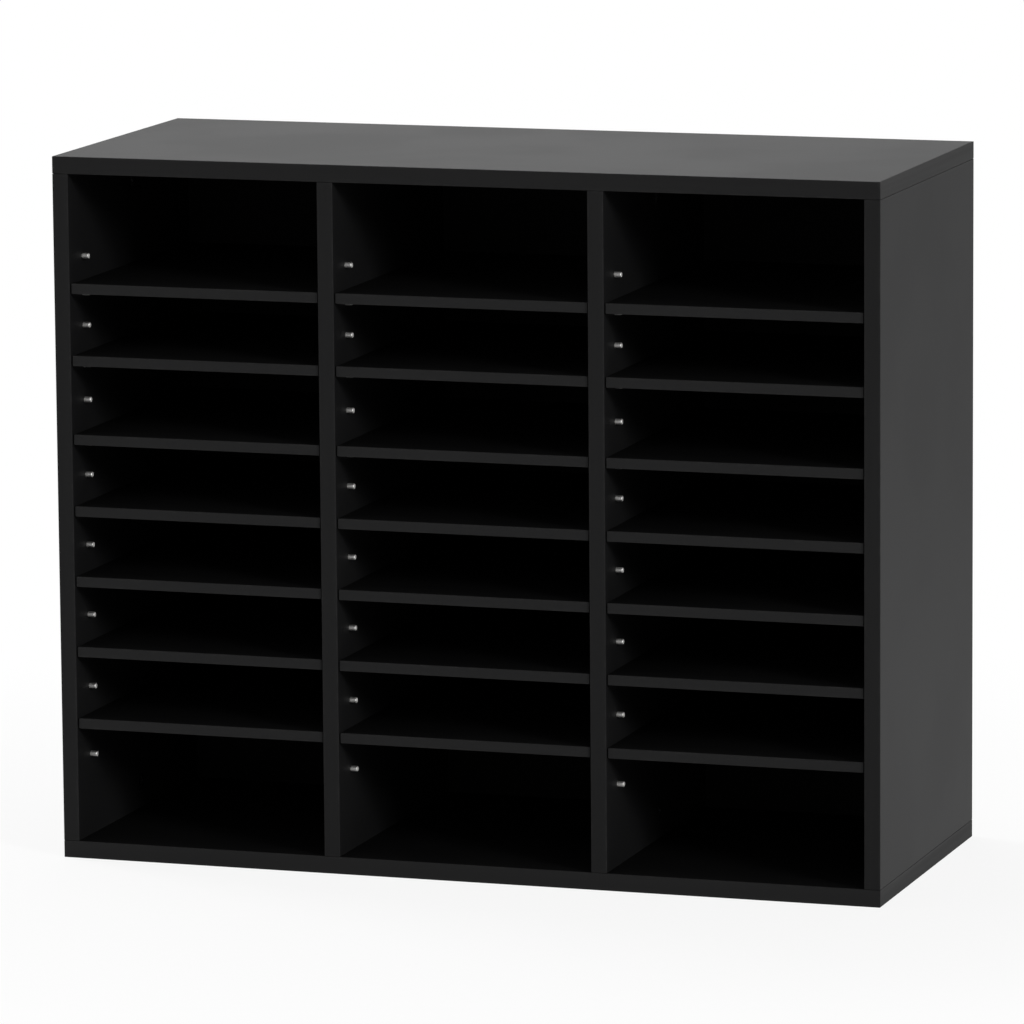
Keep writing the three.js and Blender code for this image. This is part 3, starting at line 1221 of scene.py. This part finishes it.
@dataclass
class Uprights:
    """The two sides and two dividers, bored for pins and cam locks."""

    layout: Layout
    bore_overrun: float = 1.0 * MM
    pin_bore_diameter: float = 5.3 * MM
    cam_bore_clearance: float = 0.3 * MM
    pin_bore_sides: int = 24
    cam_bore_sides: int = 64

    def build(self) -> None:
        """Models the four uprights and seats them."""
        for upright in self.layout.upright_names:
            block = self.layout.upright_block(upright)
            cutters = self.pin_bores(upright, block) + self.cam_bores(upright, block)
            if not self.layout.is_divider(upright):
                cutters.append(self.groove(upright, block))
            piece = Board(f"board_{upright}", block, butted=(Side.UNDER, Side.OVER)).model(cutters)
            hand_in(piece, CABINET, Slot.LAMINATE, upright)

    def across(self, block: Block, side: Side, depth: float) -> Span:
        """A span along X from just outside a face to a depth below it.

        Args:
            block: The upright's block.
            side: The face that the span starts from.
            depth: How far it goes in.

        Returns:
            The span's ends, the lower one first.
        """
        face = block.face(side)
        low, high = sorted((face + side.way * self.bore_overrun, face - side.way * depth))
        return low, high

    def pin_bores(self, upright: str, block: Block) -> list[bpy.types.Object]:
        """Cutters for the pins' bores: right through a divider, and blind in a side.

        Args:
            upright: The upright's name.
            block: Its block.

        Returns:
            A cutter for each pin.
        """
        layout = self.layout
        side = layout.inner_sides(upright)[0]
        depth = block.size.x + self.bore_overrun if layout.is_divider(upright) else layout.pin_socket_depth
        ends = self.across(block, side, depth)
        return [
            add_rod("pin_bore_cutter", self.pin_bore_diameter, ends, place, self.pin_bore_sides)
            for place in layout.carrier_places() + layout.spare_places()
        ]

    def cam_bores(self, upright: str, block: Block) -> list[bpy.types.Object]:
        """Cutters for the two cam locks' bores.

        Args:
            upright: The upright's name.
            block: Its block.

        Returns:
            The two cutters.
        """
        cutters = []
        for end in End:
            cam = node_block(f"cam_lock_{upright}_{end.value}")
            side = Side.RIGHT if cam.centre.x > block.centre.x else Side.LEFT
            ends = self.across(block, side, cam.size.x + self.cam_bore_clearance)
            diameter = cam.size.y + 2 * self.cam_bore_clearance
            cutters.append(add_rod("cam_bore_cutter", diameter, ends, cam.centre.yz, self.cam_bore_sides))
        return cutters

    def groove(self, upright: str, block: Block) -> bpy.types.Object:
        """A cutter for a side's groove, which runs out at both of its ends.

        Args:
            upright: The side's name.
            block: Its block.

        Returns:
            The cutter.
        """
        back = node_block("back_panel")
        clearance = self.layout.groove_clearance
        left, right = self.across(block, self.layout.inner_sides(upright)[0], self.layout.groove_depth)
        low = Vector((left, back.low.y - clearance, block.low.z - self.bore_overrun))
        high = Vector((right, back.high.y + clearance, block.high.z + self.bore_overrun))
        return add_block("groove_cutter", Block(low, high))


@dataclass
class BackPanel:
    """The hardboard sheet in the grooves."""

    arris: float = 0.3 * MM

    def build(self) -> None:
        """Models the sheet and seats it."""
        board = Board("panel_back", node_block("back_panel"), HARDBOARD, bands=(), arris=self.arris)
        hand_in(board.model(), CABINET, Slot.HARDBOARD, "back_panel")


@dataclass
class Shelves:
    """The loose shelves, modelled once and laid in each row of each column."""

    layout: Layout

    def build(self) -> None:
        """Models one shelf, copies it to the other places and seats them all."""
        names = [
            f"shelf_{column}_{row + 1}"
            for column in self.layout.columns
            for row in range(self.layout.shelves_per_column)
        ]
        first = node_block(names[0])
        # The shelves take the darker facing, painted shade on the pigeonholes' floors, and the lighter front
        # band, painted light on their fronts.
        model = Board("shelf_model", first, SHELF_FACING_PAINTED_SHADE, band_finishes=LOW_BANDS_PAINTED_LIGHT).model()
        for name in names:
            place = Matrix.Translation(node_block(name).low - first.low)
            hand_in(copy_piece(model, f"board_{name}", place), name, Slot.LAMINATE, name)
        bpy.data.objects.remove(model)


# Hardware


class Station(NamedTuple):
    """A point of a turned profile: its place along the axis and its radius there."""

    along: float
    radius: float


def mirrored(stations: Sequence[Station]) -> list[Station]:
    """The same profile on the other side of the origin."""
    return [Station(-station.along, station.radius) for station in reversed(stations)]


def turn(name: str, stations: Sequence[Station], sides: int) -> bpy.types.Object:
    """Models a turned piece about X by extruding a disc from station to station.

    Args:
        name: The piece's name.
        stations: The profile, from one end to the other.
        sides: How many sides stand for the round.

    Returns:
        The turned piece.
    """
    first = stations[0]
    piece = add_primitive(
        name,
        bpy.ops.mesh.primitive_circle_add,
        vertices=sides,
        radius=first.radius,
        fill_type="NGON",
        location=(first.along, 0.0, 0.0),
        rotation=ALONG_X,
    )
    with edit_mode(piece):
        bpy.ops.mesh.select_mode(type=Pick.FACES.value)
        bpy.ops.mesh.select_all(action="SELECT")
        for before, after in pairwise(stations):
            step = (after.along - before.along, 0.0, 0.0)
            growth = after.radius / before.radius
            bpy.ops.mesh.extrude_region_move(TRANSFORM_OT_translate={"value": step})
            bpy.ops.transform.resize(value=(1.0, growth, growth), center_override=(after.along, 0.0, 0.0))
        bpy.ops.mesh.select_all(action="SELECT")
        bpy.ops.mesh.normals_make_consistent(inside=False)
    return piece


@dataclass
class Pins:
    """The shelf pins: plain rods with a chamfered rim at each end that stands out."""

    layout: Layout
    chamfer: float = 0.5 * MM
    sides: int = 32
    edge: float = 0.15 * MM
    edge_steps: int = 2
    edge_degrees: float = 25.0
    sharp_degrees: float = 35.0
    painted_highlight_share: float = 0.9

    def build(self) -> None:
        """Models a pin for each upright, and sets the pins in their places."""
        for upright in self.layout.upright_names:
            model = self.model(upright)
            across = self.layout.upright_block(upright).centre.x
            grouped = self.layout.carrier_places()
            if self.layout.has_spare_nodes(upright):
                self.set_spares(model, upright, across)
            else:
                grouped += self.layout.spare_places()
            self.set_group(model, upright, across, grouped)
            bpy.data.objects.remove(model)

    def set_spares(self, model: bpy.types.Object, upright: str, across: float) -> None:
        """Sets the spare pins of an upright, each a piece of its own.

        Args:
            model: The modelled pin.
            upright: The upright that holds them.
            across: The X of the upright's middle.
        """
        for row, place in enumerate(self.layout.spare_places(), start=1):
            pin = copy_piece(model, f"pin_{upright}_{row}", Matrix.Translation((across, *place)))
            hand_in(pin, CABINET, Slot.STEEL, f"spare_pin_{upright}_{row}")

    def set_group(self, model: bpy.types.Object, upright: str, across: float, places: Sequence[Span]) -> None:
        """Sets the pins of an upright that share one piece.

        Args:
            model: The modelled pin.
            upright: The upright that holds them.
            across: The X of the upright's middle.
            places: The Y and Z of each pin.
        """
        copies = [
            copy_piece(model, f"pins_{upright}", Matrix.Translation((across, *place)))
            for place in places
        ]
        hand_in(join_pieces(copies), CABINET, Slot.STEEL)

    def stations(self, upright: str) -> list[Station]:
        """The profile of a pin about the middle of an upright.

        Args:
            upright: The upright's name.

        Returns:
            The profile, from left to right.
        """
        radius = self.layout.pin_diameter / 2
        face = self.layout.upright_block(upright).size.x / 2
        tip = face + self.layout.pin_protrusion
        stub = [Station(tip - self.chamfer, radius), Station(tip, radius - self.chamfer)]
        if self.layout.is_divider(upright):
            return mirrored(stub) + stub
        blind = [Station(face - self.layout.pin_socket_depth, radius), *stub]
        return blind if Side.RIGHT in self.layout.inner_sides(upright) else mirrored(blind)

    def model(self, upright: str) -> bpy.types.Object:
        """Models a pin about the middle of an upright.

        Args:
            upright: The upright's name.

        Returns:
            The dressed pin.
        """
        piece = turn(f"pin_model_{upright}", self.stations(upright), self.sides)
        round_edges(piece, self.edge, self.edge_steps, self.edge_degrees)
        smooth_rounds(piece, self.sharp_degrees)
        # Faces that look along the pin take the lighter copy of the nickel, a painted highlight on the pins'
        # ends.
        for finish in (NICKEL, END_NICKEL_PAINTED_HIGHLIGHT):
            piece.data.materials.append(finish.make())
        for polygon in piece.data.polygons:
            polygon.material_index = int(abs(polygon.normal.x) > self.painted_highlight_share)
        return piece


@dataclass
class CamLocks:
    """The cam locks in the uprights: a dished disc with a driver's cross and an arrow to its open side."""

    layout: Layout
    sides: int = 64
    rim_width: float = 1.1 * MM
    dish: float = 0.3 * MM
    edge: float = 0.175 * MM
    edge_steps: int = 3
    edge_degrees: float = 30.0
    sharp_degrees: float = 40.0
    drive_length: float = 9.0 * MM
    drive_width: float = 1.8 * MM
    drive_depth: float = 2.0 * MM
    rubbed_reach: float = 0.35 * MM
    arrow_sides: int = 3
    arrow_reach: float = 6.1 * MM
    arrow_size: float = 0.8 * MM
    arrow_depth: float = 0.6 * MM

    def build(self) -> None:
        """Models one cam lock, copies it to the other places and seats them all."""
        sample = node_block("cam_lock_left_side_bottom")
        model = self.model(sample.size.y, sample.size.x)
        for upright in self.layout.upright_names:
            for end in End:
                node = f"cam_lock_{upright}_{end.value}"
                piece = copy_piece(model, f"cam_{upright}_{end.value}", self.place(upright, end, node))
                hand_in(piece, CABINET, Slot.ZINC, node)
        bpy.data.objects.remove(model)

    def place(self, upright: str, end: End, node: str) -> Matrix:
        """How a cam lock lies, with its face in the upright's face and its arrow to the bolt.

        Args:
            upright: The upright's name.
            end: The end of the upright that it holds.
            node: The cam lock's node.

        Returns:
            The cam lock's place, from the model's.
        """
        cam = node_block(node)
        faces_right = cam.centre.x > self.layout.upright_block(upright).centre.x
        face = cam.high.x if faces_right else cam.low.x
        turn_round = Matrix.Rotation(0.0 if faces_right else math.pi, 4, "Z")
        to_bolt = Matrix.Rotation(0.0 if end is End.TOP else math.pi, 4, "X")
        return Matrix.Translation((face, *cam.centre.yz)) @ turn_round @ to_bolt

    def model(self, diameter: float, depth: float) -> bpy.types.Object:
        """Models a cam lock that looks along +X from the origin, with its arrow up.

        Args:
            diameter: The disc's diameter.
            depth: Its depth.

        Returns:
            The dressed cam lock.
        """
        piece = add_rod("cam_model", diameter, (-depth, 0.0), (0.0, 0.0), self.sides)
        with edit_mode(piece):
            pick(piece, Pick.FACES, lambda face: face.normal.dot(Side.RIGHT.normal) > SQUARE_ON)
            bpy.ops.mesh.inset(thickness=self.rim_width, depth=-self.dish)
        cut(piece, [self.arrow(), self.cross()])
        round_edges(piece, self.edge, self.edge_steps, self.edge_degrees)
        smooth_rounds(piece, self.sharp_degrees)
        mark_wear(piece, self.rubbed)
        piece.data.materials.append(ZINC.make())
        return piece

    def cross(self) -> bpy.types.Object:
        """Models the cutter for the driver's cross.

        Returns:
            The cutter.
        """
        long, short = self.drive_length / 2, self.drive_width / 2
        level, upright = [
            add_block("drive_cutter", Block(Vector((-self.drive_depth, -y, -z)), Vector((self.dish, y, z))))
            for y, z in ((long, short), (short, long))
        ]
        apply_modifier(level, "BOOLEAN", operation="UNION", solver="EXACT", object=upright)
        bpy.data.objects.remove(upright)
        return level

    def arrow(self) -> bpy.types.Object:
        """Models the cutter for the arrow at the rim.

        Returns:
            The cutter.
        """
        return add_primitive(
            "arrow_cutter",
            bpy.ops.mesh.primitive_cylinder_add,
            vertices=self.arrow_sides,
            radius=self.arrow_size,
            depth=2 * self.arrow_depth,
            location=(-self.dish, 0.0, self.arrow_reach - self.arrow_size),
            rotation=(math.pi / 2, 0.0, math.pi / 2),
        )

    def rubbed(self, point: Vector) -> float:
        """1 at the mouth of the cross, where the driver rubs the metal bare, and 0 elsewhere."""
        within = max(abs(point.y), abs(point.z)) < self.drive_length / 2 + self.rubbed_reach
        return float(within and point.x > -self.drive_depth / 2)


# Studio


def set_up(data: bpy.types.ID, place: Point, target: Point, roll_degrees: float = 0.0) -> bpy.types.Object:
    """Adds a lamp or a camera that looks at a point to the scene.

    Args:
        data: The lamp or the camera.
        place: Where it stands.
        target: The point that it looks at.
        roll_degrees: How far it is turned about its line of sight.

    Returns:
        The new object, which has the name of its data.
    """
    holder = bpy.data.objects.new(data.name, data)
    holder.location = place
    aim = (Vector(target) - Vector(place)).to_track_quat("-Z", "Y")
    roll = Quaternion((0.0, 0.0, 1.0), math.radians(roll_degrees))
    holder.rotation_euler = (aim @ roll).to_euler()
    bpy.context.scene.collection.objects.link(holder)
    return holder


@dataclass(frozen=True)
class SoftBox:
    """A square studio lamp that looks at a point."""

    name: str
    place: Point
    target: Point
    width: float
    watts: float

    def hang(self) -> None:
        """Adds the lamp to the scene."""
        lamp = bpy.data.lights.new(self.name, "AREA")
        lamp.shape = "SQUARE"
        lamp.size = self.width
        lamp.energy = self.watts
        set_up(lamp, self.place, self.target).visible_camera = False


@dataclass
class Studio:
    """A white studio: pale floor, soft boxes, an even world and the camera."""

    camera_place: Point = (2.0051, -6.0703, 1.3581)
    camera_target: Point = (0.0453, -0.1525, 0.3246)
    camera_roll_degrees: float = -0.46
    lens_mm: float = 261.03
    sensor_mm: float = 36.0
    floor_width: float = 80.0
    floor_colour: Colour = (0.88, 0.88, 0.88, 1.0)
    floor_glow: float = 0.88
    shadow_reach: Span = (0.45, 1.1)
    world_light: float = 0.15
    lamps: tuple[SoftBox, ...] = (
        SoftBox("key_lamp", (14.8, -8.5, 6.29), (0.0, -0.1, 0.31), width=4.0, watts=2150.0),
        SoftBox("top_lamp", (-0.5, 0.6, 3.2), (0.0, 0.0, 0.3), width=2.2, watts=45.0),
        SoftBox("back_lamp", (-1.23, 3.4, 1.5), (0.0, 0.0, 0.6), width=1.6, watts=9.85),
        SoftBox("left_lamp", (-6.0, 2.2, 2.2), (0.0, 0.1, 0.31), width=2.0, watts=300.0),
        SoftBox("bounce_card", (1.025, 0.5, 0.01), (1.025, 0.5, 1.0), width=1.3, watts=1.7),
    )

    def build(self) -> None:
        """Sets up the view, camera, lamps, world and floor."""
        bpy.context.scene.view_settings.view_transform = "Standard"
        self.set_camera()
        for lamp in self.lamps:
            lamp.hang()
        self.light_world()
        self.lay_floor()

    def set_camera(self) -> None:
        """Sets the camera where the photograph was taken from."""
        lens = bpy.data.cameras.new("camera")
        lens.lens = self.lens_mm
        lens.sensor_width = self.sensor_mm
        camera = set_up(lens, self.camera_place, self.camera_target, self.camera_roll_degrees)
        bpy.context.scene.camera = camera

    def seen(self, sheet: NodeSheet) -> bpy.types.NodeSocket:
        """1 for what the camera sees, straight or in gloss or through glass, and 0 for other light.

        Args:
            sheet: The sheet to add the nodes to.

        Returns:
            The mask.
        """
        path = sheet.add("ShaderNodeLightPath").outputs
        direct = sheet.math("MAXIMUM", path["Is Camera Ray"], path["Is Glossy Ray"])
        return sheet.math("MAXIMUM", direct, path["Is Transmission Ray"])

    def light_world(self) -> None:
        """Makes the world an even light that looks white."""
        world = bpy.data.worlds.new("studio")
        bpy.context.scene.world = world
        world.use_nodes = True
        sheet = NodeSheet(world.node_tree)
        light, white = [
            sheet.add("ShaderNodeBackground", {"Color": WHITE, "Strength": strength}).outputs[0]
            for strength in (self.world_light, 1.0)
        ]
        mixed = sheet.mix_shaders(self.seen(sheet), light, white)
        sheet.add("ShaderNodeOutputWorld", {"Surface": mixed})

    def lay_floor(self) -> None:
        """Lays the floor, which looks white and keeps the object's shadow."""
        floor = add_primitive("floor", bpy.ops.mesh.primitive_plane_add, size=self.floor_width)
        material = bpy.data.materials.new("pale_floor")
        material.use_nodes = True
        sheet = NodeSheet(material.node_tree)
        pale = sheet.add("ShaderNodeBsdfDiffuse", {"Color": self.floor_colour}).outputs[0]
        glow = sheet.add("ShaderNodeEmission", {"Strength": 1.0}).outputs[0]
        distance = sheet.add("ShaderNodeVectorMath", operation="LENGTH")
        sheet.feed(distance.inputs[0], sheet.place())
        far = sheet.span(distance.outputs["Value"], self.shadow_reach, (self.floor_glow, 1.0))
        mixed = sheet.mix_shaders(sheet.math("MULTIPLY", far, self.seen(sheet)), pale, glow)
        sheet.add("ShaderNodeOutputMaterial", {"Surface": mixed})
        floor.data.materials.append(material)


def main() -> None:
    """Builds the sorter and its studio."""
    logging.basicConfig(level=logging.INFO, format="%(message)s")
    layout = Layout()
    Studio().build()
    LevelBoards(layout).build()
    Uprights(layout).build()
    BackPanel().build()
    Shelves(layout).build()
    Pins(layout).build()
    CamLocks(layout).build()


if __name__ == "__main__":
    main()
